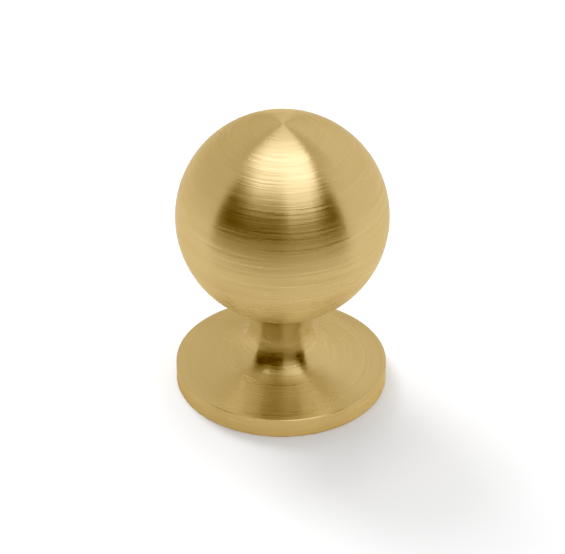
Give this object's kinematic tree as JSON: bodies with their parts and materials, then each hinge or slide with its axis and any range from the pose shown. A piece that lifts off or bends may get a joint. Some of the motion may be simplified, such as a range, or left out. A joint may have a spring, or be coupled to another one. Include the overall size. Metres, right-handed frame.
{
  "type": "cabinet knob",
  "caption": "Solid brass ball knob on a waisted neck that flares into a round foot, held from behind by a screw in its threaded back.",
  "frame": {"origin": "centre of the foot's flat back, where the knob's axis meets the door or drawer front", "axes": "+Z runs along the knob's axis from the back of the foot out through the ball; X and Y lie in the plane of the back and are free, because the knob is round"},
  "size_m": [0.025, 0.025, 0.035],
  "materials": {
    "brass": "satin, turned and finely brushed around the axis, lacquered"
  },
  "bodies": {
    "root": {"knob": "brass"}
  },
  "joints": []
}
